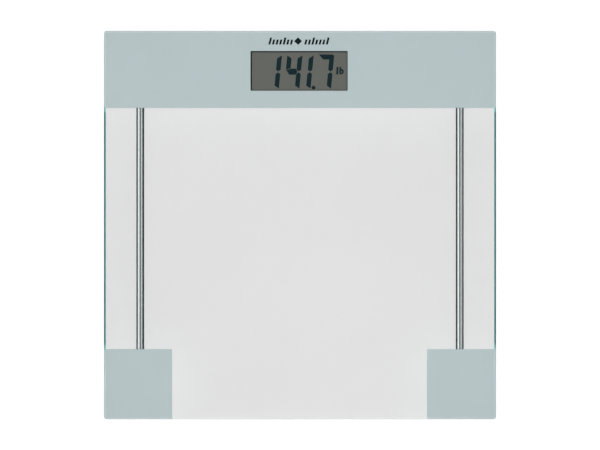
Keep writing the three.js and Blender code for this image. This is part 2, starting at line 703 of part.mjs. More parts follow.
// From the front sensor through the tube and along the front of the bar to the board.
const FRONT_WIRE = [
  [CELL_FRONT.x, CELL_FRONT.y + 12.9, SEAL_Z],
  [CELL_FRONT.x - 0.3, CELL_FRONT.y + 17.2, SEAL_Z],
  [TUBE_X, CELL_FRONT.y + 19, SEAL_Z - 0.9],
  [TUBE_X, CELL_FRONT.y + 21, TUBE_Z + 0.9],
  [TUBE_X, POD_BACK + 4, TUBE_Z],
  [TUBE_X, 0, TUBE_Z],
  [TUBE_X, BAR_FRONT, TUBE_Z],
  [TUBE_X, BAR_FRONT + 6.4, TUBE_Z - 0.3],
  [TUBE_X - 4.5, BAR_FRONT + 9.2, 8.5],
  [TUBE_X - 14, BAR_FRONT + 7, 7.8],
  [70, BAR_FRONT + 6.6, 7.6],
  [48, BAR_FRONT + 7, 7.4],
  [38, BAR_FRONT + 10, WIRE_END_Z],
];

// From the rear sensor round the back of the battery bay to the board.
const REAR_WIRE = [
  [CELL_REAR.x - 12.9, CELL_REAR.y, SEAL_Z],
  [CELL_REAR.x - 18, CELL_REAR.y + 0.4, SEAL_Z],
  [CELL_REAR.x - 22, CELL_REAR.y + 4, 10.9],
  [100, 134.6, 8.4],
  [88, 139.5, 7.6],
  [60, 139.5, 7.6],
  [48, 138, 7.4],
  [38, 134, WIRE_END_Z],
];

placePair("front_sensor_wire", wire(FRONT_WIRE, 64), WIRE);
placePair("rear_sensor_wire", wire(REAR_WIRE, 26), WIRE);

// ---------------------------------------------------------------- screws
function screw(x, y) {
  const headTop = SCREW_SEAT_Z - SEAT_GAP;
  const headZ = headTop - 0.85;
  const profile = [
    [0, headZ],
    [SCREW_HEAD_R - 0.7, headZ],
    [SCREW_HEAD_R, headZ + 0.45],
    [SCREW_HEAD_R, headTop],
    [SCREW_R, headTop],
    [SCREW_R, SCREW_TIP_Z - 1],
    [0, SCREW_TIP_Z],
  ];
  return cut(
    turned(x, y, profile, 16),
    boxAt(x, y, 2.6, 0.6, headZ - 1, headZ + 0.55),
    boxAt(x, y, 0.6, 2.6, headZ - 1, headZ + 0.55),
  );
}

BAR_SCREWS.forEach(([x, y], i) => placePair(`bar_screw_${i + 1}`, screw(x, y), SPRING_STEEL));
POD_SCREWS.forEach(([x, y], i) => placePair(`pod_screw_${i + 1}`, screw(x, y), SPRING_STEEL));

export default scale;
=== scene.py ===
# Looks for the digital bathroom scale: a glass platform on a display bar and two corner pods.
# Metres, +Z up, +Y towards the display. Sizes below are written in millimetres times MM.
import json
import math

import bmesh
import bpy
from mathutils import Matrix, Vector

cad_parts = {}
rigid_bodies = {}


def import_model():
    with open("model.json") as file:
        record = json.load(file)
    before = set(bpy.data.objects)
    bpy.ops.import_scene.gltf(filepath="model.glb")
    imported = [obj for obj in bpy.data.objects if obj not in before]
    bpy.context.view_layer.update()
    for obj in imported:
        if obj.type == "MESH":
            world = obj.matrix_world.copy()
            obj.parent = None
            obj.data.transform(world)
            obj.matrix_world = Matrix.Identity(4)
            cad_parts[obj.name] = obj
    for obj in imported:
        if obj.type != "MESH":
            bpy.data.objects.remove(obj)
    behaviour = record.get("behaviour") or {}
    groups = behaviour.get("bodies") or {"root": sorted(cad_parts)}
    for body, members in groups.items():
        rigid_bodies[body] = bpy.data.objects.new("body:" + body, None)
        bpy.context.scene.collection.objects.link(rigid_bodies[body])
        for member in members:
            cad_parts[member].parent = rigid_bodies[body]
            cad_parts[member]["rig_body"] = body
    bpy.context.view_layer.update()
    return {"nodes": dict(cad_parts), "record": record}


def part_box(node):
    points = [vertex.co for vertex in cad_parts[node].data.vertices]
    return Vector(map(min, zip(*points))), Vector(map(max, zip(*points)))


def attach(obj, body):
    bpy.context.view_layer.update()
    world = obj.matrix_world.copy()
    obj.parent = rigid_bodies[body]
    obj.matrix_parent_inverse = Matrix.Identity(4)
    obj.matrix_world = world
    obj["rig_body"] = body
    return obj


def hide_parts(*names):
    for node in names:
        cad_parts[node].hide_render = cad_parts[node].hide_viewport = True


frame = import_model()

MM = 0.001
SIDES = ("right", "left")
CORNERS = ("rear_right", "rear_left", "front_right", "front_left")

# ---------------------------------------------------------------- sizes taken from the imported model
GLASS_LOW, GLASS_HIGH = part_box("glass_platform")
BAND_LOW, BAND_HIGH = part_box("display_band_print")
SQUARE_LOW, SQUARE_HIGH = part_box("corner_print_right")
PANEL_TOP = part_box("lcd_panel")[1].z
CLEAR_BACK = BAND_LOW.y  # the clear part of the glass runs from here
CLEAR_FRONT = SQUARE_HIGH.y  # to here along each side
CLEAR_SIDE = SQUARE_LOW.x  # and this far each way along the front edge
WINDOW_LOW = Vector((-38.3, 103.9)) * MM  # the window left in the printed band
WINDOW_HIGH = Vector((36.95, 134.7)) * MM
ARRIS = 1.0 * MM  # width of the rounding along every edge of the glass
GLASS_CORNER_R = 2.2 * MM

# ---------------------------------------------------------------- node helpers
NOISE_LOW, NOISE_HIGH = 0.3, 0.7  # a noise stays between these nearly everywhere


class Nodes:
    """Short calls for the nodes used here, in the node tree of a material or of the world."""

    def __init__(self, owner, output_kind, position):
        self.owner = owner
        owner.use_nodes = True
        self.tree = owner.node_tree
        self.tree.nodes.clear()
        self.output = self.node(output_kind)
        self.position = self.node("ShaderNodeTexCoord").outputs[position]

    def node(self, kind, **settings):
        made = self.tree.nodes.new(kind)
        for key, value in settings.items():
            setattr(made, key, value)
        return made

    def plug(self, socket, value):
        if isinstance(value, bpy.types.NodeSocket):
            self.tree.links.new(value, socket)
        elif socket.type == "RGBA" and len(value) == 3:
            socket.default_value = (*value, 1)
        else:
            socket.default_value = value

    def math(self, operation, *values, clamp=False):
        made = self.node("ShaderNodeMath", operation=operation, use_clamp=clamp)
        for socket, value in zip(made.inputs, values):
            self.plug(socket, value)
        return made.outputs[0]

    def axes(self):
        made = self.node("ShaderNodeSeparateXYZ")
        self.plug(made.inputs[0], self.position)
        return made.outputs

    def stretched(self, x, y, z):
        made = self.node("ShaderNodeMapping")
        self.plug(made.inputs["Vector"], self.position)
        made.inputs["Scale"].default_value = (x, y, z)
        return made.outputs[0]

    def noise(self, size, detail=3.0, vector=None):
        made = self.node("ShaderNodeTexNoise")
        self.plug(made.inputs["Vector"], vector or self.position)
        made.inputs["Scale"].default_value = 1 / size
        made.inputs["Detail"].default_value = detail
        return made.outputs["Fac"]

    def cells(self, size):
        made = self.node("ShaderNodeTexVoronoi")
        self.plug(made.inputs["Vector"], self.position)
        made.inputs["Scale"].default_value = 1 / size
        return made.outputs["Distance"]

    def between(self, factor, low, high, out_low=0.0, out_high=1.0):
        made = self.node("ShaderNodeMapRange", clamp=True)
        for socket, value in zip(made.inputs, (factor, low, high, out_low, out_high)):
            self.plug(socket, value)
        return made.outputs[0]

    def ramp(self, factor, stops):
        made = self.node("ShaderNodeValToRGB")
        elements = made.color_ramp.elements
        while len(elements) < len(stops):
            elements.new(0.5)
        for element, (place, color) in zip(elements, stops):
            element.position = place
            element.color = (*color, 1)
        self.plug(made.inputs[0], factor)
        return made.outputs[0]

    def mix(self, factor, first, second):
        made = self.node("ShaderNodeMix", data_type="RGBA")
        self.plug(made.inputs["Factor"], factor)
        colors = [s for s in made.inputs if s.type == "RGBA"]
        self.plug(colors[0], first)
        self.plug(colors[1], second)
        return [s for s in made.outputs if s.type == "RGBA"][0]

    def varied(self, color, spread, factor):
        """color, from spread darker to spread lighter as factor goes over a noise's usual range."""
        darker = [c * (1 - spread) for c in color]
        lighter = [min(c * (1 + spread), 1) for c in color]
        return self.ramp(factor, [(NOISE_LOW, darker), (NOISE_HIGH, lighter)])

    def from_rim(self, x, y, low, high):
        """How far inside the rectangle from low to high a place is, off its nearest side."""
        beside = [
            self.math("SUBTRACT", x, low.x),
            self.math("SUBTRACT", high.x, x),
            self.math("SUBTRACT", y, low.y),
            self.math("SUBTRACT", high.y, y),
        ]
        nearest_x = self.math("MINIMUM", *beside[:2])
        nearest_y = self.math("MINIMUM", *beside[2:])
        return self.math("MINIMUM", nearest_x, nearest_y)

    def bump(self, height, distance, strength=1.0):
        made = self.node("ShaderNodeBump")
        made.inputs["Strength"].default_value = strength
        made.inputs["Distance"].default_value = distance
        self.plug(made.inputs["Height"], height)
        return made.outputs[0]

    def principled(self, **values):
        made = self.node("ShaderNodeBsdfPrincipled")
        for key, value in values.items():
            self.plug(made.inputs[key.replace("_", " ")], value)
        return made.outputs[0]

    def mix_shaders(self, factor, first, second):
        made = self.node("ShaderNodeMixShader")
        for socket, value in zip(made.inputs, (factor, first, second)):
            self.plug(socket, value)
        return made.outputs[0]

    def light_path(self):
        """The kinds of light ray, and a mirror ray: one off a surface and through no glass."""
        rays = self.node("ShaderNodeLightPath").outputs
        glossy, through = rays["Is Glossy Ray"], rays["Is Transmission Ray"]
        return rays, self.math("SUBTRACT", glossy, through, clamp=True)

    def finish(self, shader):
        self.plug(self.output.inputs["Surface"], shader)
        return self.owner


def material_nodes(name):
    """A new material's nodes. Positions in it are the part's own, in metres."""
    return Nodes(bpy.data.materials.new(name), "ShaderNodeOutputMaterial", "Object")


# ---------------------------------------------------------------- materials
def moulded(
    name, color, roughness, grain=0.45 * MM, depth=0.02 * MM, spread=0.05, specular=0.5
):
    """Moulded plastic or rubber: fine grain, slow shifts in colour, and small rubbed patches."""
    smoother, rougher = roughness - 0.07, roughness + 0.07
    m = material_nodes(name)
    slow = m.noise(28 * MM, 4)
    fine = m.noise(grain, 2)
    rubbed = m.noise(7 * MM, 5)
    in_the_grain = [c * 0.82 for c in color]
    color_now = m.mix(
        m.between(fine, 0.35, 0.75, 0.0, 0.35), m.varied(color, spread, slow), in_the_grain
    )
    return m.finish(
        m.principled(
            Base_Color=color_now,
            Roughness=m.between(rubbed, NOISE_LOW, NOISE_HIGH, smoother, rougher),
            Specular_IOR_Level=specular,
            Normal=m.bump(fine, depth),
        )
    )


def metal(name, color, roughness, stretch=(1, 1, 1), scratch=0.3 * MM, spread=0.06):
    """Bare or plated metal with fine marks. A stretch below 1 draws them out along that axis."""
    m = material_nodes(name)
    marks = m.noise(scratch, 3, m.stretched(*stretch))
    slow = m.noise(12 * MM, 3)
    return m.finish(
        m.principled(
            Base_Color=m.varied(color, spread, slow),
            Metallic=1.0,
            Roughness=m.between(marks, NOISE_LOW, NOISE_HIGH, roughness * 0.75, roughness * 1.3),
            Normal=m.bump(marks, 0.002 * MM, 0.4),
        )
    )


def printed_ink():
    """Silver-grey screen print: a satin lacquer full of very fine metal flake."""
    m = material_nodes("silver_ink")
    flake = m.cells(0.35 * MM)
    mesh_marks = m.noise(1.1 * MM, 2)
    slow = m.noise(60 * MM, 2)
    color = m.varied((0.545, 0.645, 0.660), 0.012, slow)
    color = m.mix(m.between(flake, 0.05, 0.5, 0.0, 0.10), color, (0.66, 0.75, 0.77))
    return m.finish(
        m.principled(
            Base_Color=color,
            Metallic=0.0,
            Roughness=m.between(mesh_marks, NOISE_LOW, NOISE_HIGH, 0.42, 0.52),
            Normal=m.bump(mesh_marks, 0.006 * MM, 0.5),
        )
    )


def pane():
    """The polished faces of the glass. Shadow light passes straight through, as in a flat pane."""
    m = material_nodes("glass_face")
    tint = m.varied((0.83, 0.83, 0.83), 0.006, m.noise(90 * MM, 2))
    glass = m.principled(
        Base_Color=tint,
        Roughness=0.0,
        IOR=1.5,
        Transmission_Weight=1.0,
        Specular_IOR_Level=0.3,
    )
    clear = m.node("ShaderNodeBsdfTransparent")
    clear.inputs["Color"].default_value = (0.923, 0.923, 0.923, 1)
    rays = m.node("ShaderNodeLightPath").outputs
    return m.finish(m.mix_shaders(rays["Is Shadow Ray"], glass, clear.outputs[0]))


def glass_edge():
    """The ground edge of the glass: sea green where it is clear, grey beside a print, with painted
    reflection on its arris.
    """
    # Painted reflection on the rounded arris: pale stands for the bright floor seen through it at the
    # front, beside_print and cyan for the print seen in it, teal partly for the glass's own green and
    # partly for the dark it shows at the sides.
    teal, cyan, pale = (0.0, 0.15, 0.165), (0.10, 0.42, 0.42), (0.76, 0.80, 0.79)
    beside_print, beside_print_end = (0.45, 0.54, 0.55), (0.50, 0.56, 0.57)
    ground_green = (0.05, 0.19, 0.19)
    border, cyan_run, fade = 0.3 * MM, 3.0 * MM, 1.0 * MM
    m = material_nodes("glass_edge")
    x, y, z = m.axes()
    span = GLASS_HIGH.y - GLASS_LOW.y

    def along(place):
        return (place - GLASS_LOW.y) / span

    # Along each side: painted print reflection by the prints, teal along the clear part.
    sides = m.ramp(
        m.between(y, GLASS_LOW.y, GLASS_HIGH.y),
        [
            (along(CLEAR_FRONT - border), beside_print),
            (along(CLEAR_FRONT + border), cyan),
            (along(CLEAR_FRONT + cyan_run), cyan),
            (along(CLEAR_FRONT + cyan_run + fade), teal),
            (along(CLEAR_BACK - cyan_run - fade), teal),
            (along(CLEAR_BACK - cyan_run), cyan),
            (along(CLEAR_BACK - border), cyan),
            (along(CLEAR_BACK + border), beside_print),
        ],
    )
    across = m.math("ABSOLUTE", x)
    beside = m.math(
        "MAXIMUM", m.math("GREATER_THAN", across, CLEAR_SIDE), m.math("GREATER_THAN", y, 0.0)
    )
    # Along the front and back: painted floor light in the clear middle, painted print reflection
    # elsewhere.
    ends = m.mix(beside, pale, beside_print_end)
    at_side = m.math("GREATER_THAN", across, GLASS_HIGH.x - 1.3 * ARRIS)
    rounding = m.mix(at_side, ends, sides)
    middle = (GLASS_LOW.z + GLASS_HIGH.z) / 2
    off_middle = m.math("ABSOLUTE", m.math("SUBTRACT", z, middle))
    upright_wall = m.between(off_middle, 1.7 * MM, 2.1 * MM, 1.0, 0.0)
    ground = m.noise(0.5 * MM, 3)
    color = m.mix(upright_wall, rounding, m.varied(ground_green, 0.12, ground))
    return m.finish(
        m.principled(
            Base_Color=color,
            Roughness=m.between(ground, NOISE_LOW, NOISE_HIGH, 0.12, 0.24),
            Normal=m.bump(ground, 0.008 * MM, 0.5),
            IOR=1.5,
            Specular_IOR_Level=0.3,
        )
    )


def chrome():
    """Polished chrome plate, slightly hazy in places, with faint lines drawn along the tube."""
    m = material_nodes("chrome")
    lines = m.noise(0.25 * MM, 3, m.stretched(1, 0.02, 1))
    haze = m.noise(16 * MM, 4)
    return m.finish(
        m.principled(
            Base_Color=m.varied((0.80, 0.88, 0.885), 0.02, haze),
            Metallic=1.0,
            Roughness=m.between(haze, NOISE_LOW, NOISE_HIGH, 0.045, 0.075),
            Normal=m.bump(lines, 0.001 * MM, 0.3),
        )
    )


def display_face():
    """The liquid crystal panel: a grey-green reflector under a satin film, with painted shade
    darkening its rim where the window's recess would shade it.
    """
    m = material_nodes("display")
    x, y, _ = m.axes()
    # Painted shade: within 1.7 mm of the window's edges the panel is darkened, as the recess under
    # the print would shade it.
    rim = m.between(m.from_rim(x, y, WINDOW_LOW, WINDOW_HIGH), 0.4 * MM, 1.7 * MM, 1.0, 0.0)
    grain = m.noise(0.25 * MM, 2)
    color = m.varied((0.141, 0.146, 0.130), 0.04, m.noise(0.6 * MM, 3))
    color = m.mix(m.math("MULTIPLY", rim, 0.8), color, (0.077, 0.079, 0.071))
    return m.finish(
        m.principled(
            Base_Color=color,
            Roughness=m.between(grain, NOISE_LOW, NOISE_HIGH, 0.38, 0.5),
            Normal=m.bump(grain, 0.002 * MM, 0.4),
        )
    )


def circuit():
    """Green solder mask over copper tracks, with bare pads."""
    m = material_nodes("board")
    tracks = m.node("ShaderNodeTexWave", wave_type="BANDS", bands_direction="DIAGONAL")
    m.plug(tracks.inputs["Vector"], m.position)
    tracks.inputs["Scale"].default_value = 260
    tracks.inputs["Distortion"].default_value = 3
    tracks.inputs["Detail"].default_value = 1
    track = m.between(tracks.outputs["Fac"], 0.55, 0.62)
    color = m.mix(track, (0.012, 0.09, 0.035), (0.025, 0.15, 0.06))
    pads = m.between(m.cells(5 * MM), 0.10, 0.12, 1.0, 0.0)
    color = m.mix(pads, color, (0.62, 0.55, 0.36))
    return m.finish(
        m.principled(
            Base_Color=color, Roughness=0.35, Normal=m.bump(track, 0.03 * MM), Coat_Weight=0.3
        )
    )


def silicone():
    """Slightly cloudy potting over the gauges, a little uneven."""
    m = material_nodes("silicone")
    cloud = m.noise(3 * MM, 4)
    return m.finish(
        m.principled(
            Base_Color=m.varied((0.80, 0.79, 0.74), 0.04, cloud),
            Roughness=m.between(cloud, NOISE_LOW, NOISE_HIGH, 0.42, 0.58),
            Subsurface_Weight=0.2,
            Subsurface_Radius=(0.002, 0.0018, 0.0015),
            Normal=m.bump(m.noise(0.8 * MM, 2), 0.05 * MM, 0.5),
        )
    )


def foam():
    """Closed-cell foam: little bubbles cut open, with painted shade in their hollows."""
    m = material_nodes("foam")
    # Painted shade: each bubble's hollow is darker than its rim.
    hollow, rim = (0.002, 0.005, 0.005), (0.010, 0.018, 0.017)
    bubbles = m.cells(0.5 * MM)
    return m.finish(
        m.principled(
            Base_Color=m.ramp(bubbles, [(0.1, hollow), (0.6, rim)]),
            Roughness=0.92,
            Specular_IOR_Level=0.15,
            Normal=m.bump(bubbles, 0.15 * MM, 0.7),
        )
    )


def insulation():
    """Three thin insulated wires lying together, red, black and white, with a slow twist."""
    m = material_nodes("wire")
    x, y, z = m.axes()
    turns_along, turns_up = 55.0, 420.0  # per metre
    along = m.math("MULTIPLY", m.math("ADD", x, y), turns_along)
    turn = m.math("FRACT", m.math("ADD", along, m.math("MULTIPLY", z, turns_up)))
    red, black, white = (0.45, 0.02, 0.02), (0.02, 0.02, 0.02), (0.62, 0.62, 0.60)
    color = m.ramp(turn, [(0.0, red), (0.34, black), (0.67, white)])
    color.node.color_ramp.interpolation = "CONSTANT"
    nap = m.noise(0.4 * MM, 2)
    return m.finish(
        m.principled(Base_Color=color, Roughness=0.42, Normal=m.bump(nap, 0.02 * MM))
    )


def paper_label():
    """A blank silver-white label with a fine frame line and a slight tooth."""
    m = material_nodes("label")
    x, y, _ = m.axes()
    edge = m.from_rim(x, y, *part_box("rating_label"))
    line = m.math(
        "MULTIPLY", m.math("GREATER_THAN", edge, 1.5 * MM), m.math("LESS_THAN", edge, 1.8 * MM)
    )
    tooth = m.noise(0.3 * MM, 3)
    color = m.mix(line, m.varied((0.74, 0.75, 0.75), 0.02, tooth), (0.20, 0.21, 0.22))
    return m.finish(
        m.principled(
            Base_Color=color,
            Roughness=m.between(tooth, NOISE_LOW, NOISE_HIGH, 0.38, 0.5),
            Normal=m.bump(tooth, 0.01 * MM, 0.6),
        )
    )


MATERIALS = {
    "silver_ink": printed_ink(),
    "foam": foam(),
    "shell": moulded("shell", (0.42, 0.46, 0.475), 0.48),
    "chrome": chrome(),
    "sensor_steel": metal("sensor_steel", (0.50, 0.51, 0.52), 0.30, stretch=(1, 0.05, 1)),
    "silicone": silicone(),
    "foot_plastic": moulded("foot_plastic", (0.27, 0.295, 0.31), 0.50, grain=0.4 * MM),
    "rubber": moulded(
        "rubber", (0.040, 0.043, 0.046), 0.82, grain=0.3 * MM, depth=0.04 * MM, spread=0.12
    ),
    "board": circuit(),
    "display": display_face(),
    "black_plastic": moulded(
        "black_plastic",
        (0.006, 0.013, 0.012),
        0.45,
        grain=0.3 * MM,
        depth=0.01 * MM,
        spread=0.1,
        specular=0.15,
    ),
    "conductive_rubber": moulded(
        "conductive_rubber", (0.09, 0.08, 0.07), 0.75, grain=0.2 * MM, spread=0.3
    ),
    "cell_can": metal("cell_can", (0.62, 0.63, 0.64), 0.22, scratch=0.15 * MM),
    "spring_metal": metal("spring_metal", (0.62, 0.58, 0.50), 0.28, stretch=(0.05, 1, 1)),
    "label": paper_label(),
    "wire": insulation(),
    "screw_steel": metal(
        "screw_steel", (0.56, 0.56, 0.57), 0.26, stretch=(1, 1, 0.1), scratch=0.2 * MM
    ),
}
PANE = pane()
EDGE = glass_edge()
DARK_INK = moulded(
    "dark_ink",
    (0.001, 0.007, 0.009),
    0.40,
    grain=0.3 * MM,
    depth=0.004 * MM,
    spread=0.1,
    specular=0.05,
)
CRYSTAL = moulded(
    "lit_crystal",
    (0.000, 0.019, 0.026),
    0.42,
    grain=0.3 * MM,
    depth=0.002 * MM,
    spread=0.08,
    specular=0.0,
)

SLOTS = {part["node"]: part["material_slot"] for part in frame["record"]["subparts"]}


# ---------------------------------------------------------------- mesh helpers
SAME_PLACE = 0.002 * MM  # CAD corners closer than this are one corner


def added(name, data):
    """A new object in the scene."""
    made = bpy.data.objects.new(name, data)
    bpy.context.scene.collection.objects.link(made)
    return made


def placed(mesh, body, materials, sharp_above=35):
    """A new piece that rides on a body. An edge of over sharp_above degrees stays hard."""
    for material in materials:
        mesh.materials.append(material)
    mesh.validate()
    mesh.shade_smooth()
    mesh.set_sharp_from_angle(angle=math.radians(sharp_above))
    made = added(mesh.name, mesh)
    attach(made, body)
    return made


def piece(name, vertices, faces, body, materials):
    """The same from vertices and faces."""
    mesh = bpy.data.meshes.new(name)
    mesh.from_pydata(vertices, [], faces)
    return placed(mesh, body, materials)


def flat_faces(made):
    """Shading follows the large faces, so a flat face looks flat right up to its rounded edge."""
    weighted = made.modifiers.new("flat_faces", "WEIGHTED_NORMAL")
    weighted.keep_sharp = True
    weighted.weight = 100  # the largest face decides


def rounded_outline(half_w, half_d, radius, steps=10):
    """A rectangle with round corners, centred on the origin, anticlockwise."""
    points = []
    for quarter, (sx, sy) in enumerate([(1, 1), (-1, 1), (-1, -1), (1, -1)]):
        x, y = sx * (half_w - radius), sy * (half_d - radius)
        for i in range(steps + 1):
            angle = (quarter + i / steps) * math.pi / 2
            points.append((x + radius * math.cos(angle), y + radius * math.sin(angle)))
    return points


def stacked(rings):
    """Faces that join equal rings of points, lowest first, and close both ends."""
    n = len(rings[0])
    faces = [tuple(reversed(range(n)))]
    for level in range(len(rings) - 1):
        a, b = level * n, (level + 1) * n
        faces += [(a + i, a + (i + 1) % n, b + (i + 1) % n, b + i) for i in range(n)]
    faces.append(tuple((len(rings) - 1) * n + i for i in range(n)))
    return faces


def softened(profile, radius, steps=3):
    """A turned profile with its corners rounded off. Its first and last points stay."""
    most = 0.4  # of the shorter side next to a corner
    points = [profile[0]]
    for before, corner, after in zip(profile, profile[1:], profile[2:]):
        corner_v = Vector(corner)
        to_before, to_after = Vector(before) - corner_v, Vector(after) - corner_v
        reach = min(radius, to_before.length * most, to_after.length * most)
        start = corner_v + to_before.normalized() * reach
        end = corner_v + to_after.normalized() * reach
        for i in range(steps + 1):
            t = i / steps
            points.append(tuple(start * (1 - t) ** 2 + corner_v * 2 * t * (1 - t) + end * t * t))
    points.append(profile[-1])
    return points


def turned(node, profile, corner_r, body, slot, sides=96):
    """A turned piece in place of a CAD solid, about the upright axis through its middle.

    The profile has (radius, z) points in mm, bottom first. It starts and ends on the axis, and its
    other corners are rounded to corner_r.
    """
    low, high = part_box(node)
    x, y = (low.x + high.x) / 2, (low.y + high.y) / 2
    vertices, faces, rings = [], [], []
    for radius, z in softened(profile, corner_r):
        if radius == 0:
            rings.append([len(vertices)])
            vertices.append((x, y, z * MM))
            continue
        rings.append(list(range(len(vertices), len(vertices) + sides)))
        for i in range(sides):
            angle = 2 * math.pi * i / sides
            out = radius * MM
            vertices.append((x + out * math.cos(angle), y + out * math.sin(angle), z * MM))
    for ring, after in zip(rings, rings[1:]):
        for i in range(sides):
            j = (i + 1) % sides
            corners = [ring[i % len(ring)], ring[j % len(ring)]]
            corners += [after[j % len(after)], after[i % len(after)]]
            faces.append(tuple(dict.fromkeys(corners)))  # three corners where a ring is a point
    made = piece(node + "_turned", vertices, faces, body, [MATERIALS[slot]])
    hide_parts(node)


def plates(name, outlines, z_low, z_high, material):
    """Flat shapes in one mesh, each given as its outline in mm, anticlockwise."""
    vertices, faces = [], []
    for outline in outlines:
        first, n = len(vertices), len(outline)
        vertices += [(x * MM, y * MM, z_low) for x, y in outline]
        vertices += [(x * MM, y * MM, z_high) for x, y in outline]
        faces.append(tuple(first + n - 1 - i for i in range(n)))
        faces.append(tuple(first + n + i for i in range(n)))
        for i in range(n):
            j = (i + 1) % n
            faces.append((first + i, first + j, first + n + j, first + n + i))
    piece(name, vertices, faces, "platform", [material])


def welded(node):
    """A CAD solid's mesh to work on, with the corners that its facets share made one."""
    b = bmesh.new()
    b.from_mesh(frame["nodes"][node].data)
    bmesh.ops.remove_doubles(b, verts=b.verts, dist=SAME_PLACE)
    return b


def stand_in(node, ending, b, sharp_above):
    """A worked-over mesh takes the CAD solid's place, with the same body and slot."""
    mesh = bpy.data.meshes.new(node + ending)
    b.to_mesh(mesh)
    b.free()
    slot = SLOTS[node]
    made = placed(mesh, frame["nodes"][node]["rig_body"], [MATERIALS[slot]], sharp_above)
    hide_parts(node)
    return made


def refined(node, width):
    """A finer copy of a CAD solid, with a small radius on its hard edges, as moulds leave."""
    in_one_plane, hard_above = math.radians(0.5), math.radians(38)
    b = welded(node)
    bmesh.ops.dissolve_limit(b, angle_limit=in_one_plane, verts=b.verts, edges=b.edges)
    inner = [edge for edge in b.edges if len(edge.link_faces) == 2]
    hard = [edge for edge in inner if edge.calc_face_angle(0) > hard_above]
    bmesh.ops.bevel(
        b, geom=hard, offset=width, segments=2, profile=0.5, affect="EDGES", clamp_overlap=True
    )
    flat_faces(stand_in(node, "_fine", b, sharp_above=50))


def smooth_wire(node):
    """A CAD wire bundle with its facets smoothed over."""
    stand_in(node, "_round", welded(node), sharp_above=75)


# ---------------------------------------------------------------- the glass
def glass_slab():
    """The platform as one closed slab: polished faces, and a rounded arris round both."""
    half_w, half_d = GLASS_HIGH.x, GLASS_HIGH.y
    # Up from the face and in from the side, in arris widths. The first keeps the face's rim flat.
    steps = [(0.0, 1.05), (0.0, 1.0), (0.10, 0.62), (0.32, 0.32), (0.62, 0.10), (1.0, 0.0)]
    levels = [(GLASS_LOW.z + up * ARRIS, inset * ARRIS) for up, inset in steps]
    levels += [(GLASS_HIGH.z - up * ARRIS, inset * ARRIS) for up, inset in reversed(steps)]
    rings = []
    for z, inset in levels:
        outline = rounded_outline(half_w - inset, half_d - inset, GLASS_CORNER_R - inset)
        rings.append([(x, y, z) for x, y in outline])
    vertices = [vertex for ring in rings for vertex in ring]
    made = piece("glass_slab", vertices, stacked(rings), "platform", [PANE, EDGE])
    for face in made.data.polygons[1:-1]:  # all but the first and last, which are the polished ones
        face.material_index = 1
    flat_faces(made)
    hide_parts("glass_platform")


# ---------------------------------------------------------------- tubes
def smooth_tube(side):
    """A chromed tube along Y, hollow, with lightly rounded ends."""
    low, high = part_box("tube_" + side)
    x, z = (low.x + high.x) / 2, (low.z + high.z) / 2
    wall, ease = 0.5 * MM, 0.15 * MM
    outer = (high.x - low.x) / 2
    bore = outer - wall
    rings = [
        (bore, low.y),
        (outer - ease, low.y),
        (outer, low.y + ease),
        (outer, high.y - ease),
        (outer - ease, high.y),
        (bore, high.y),
    ]
    sides = 128
    angles = [2 * math.pi * i / sides for i in range(sides)]
    vertices = [
        (x + radius * math.sin(angle), y, z + radius * math.cos(angle))
        for radius, y in rings
        for angle in angles
    ]
    faces = []
    for level in range(len(rings)):
        a, b = level * sides, (level + 1) % len(rings) * sides
        faces += [(a + i, a + (i + 1) % sides, b + (i + 1) % sides, b + i) for i in range(sides)]
    name = "tube_" + side
    made = piece(name + "_polished", vertices, faces, "platform", [MATERIALS["chrome"]])
    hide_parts(name)


# ---------------------------------------------------------------- the display's characters, in mm
MIDDLE_Y = 118.6
SLANT = math.tan(math.radians(5.4))
STEM = 1.78  # half the width of an upright bar
TOP_Y, BOTTOM_Y = 131.3, 105.7
CUT = 2.3  # how much shorter a bar's left side is at its far end
SHOULDER, TIP = 1.6, 0.35  # where a bar's point starts and ends, off the middle line


def lean(points):
    """The points pushed over to the right above the middle line, and to the left below it."""
    return [(x + (y - MIDDLE_Y) * SLANT, y) for x, y in points]


def upright(x, upper):
    """One upright bar of a character: a point at the middle line, a slanting cut at the far end."""
    s = 1 if upper else -1
    end = TOP_Y if upper else BOTTOM_Y
    near, tip = MIDDLE_Y + SHOULDER * s, MIDDLE_Y + TIP * s
    left, right = x - STEM, x + STEM
    points = [(right, end), (left, end - CUT * s), (left, near), (x, tip), (right, near)]
    return points if upper else points[::-1]


def arc(x, y, radius, start, end, steps):
    """Points on a circle, from one angle to another in degrees."""
    angles = [math.radians(start + (end - start) * i / steps) for i in range(steps + 1)]
    return [(x + radius * math.cos(a), y + radius * math.sin(a)) for a in angles]


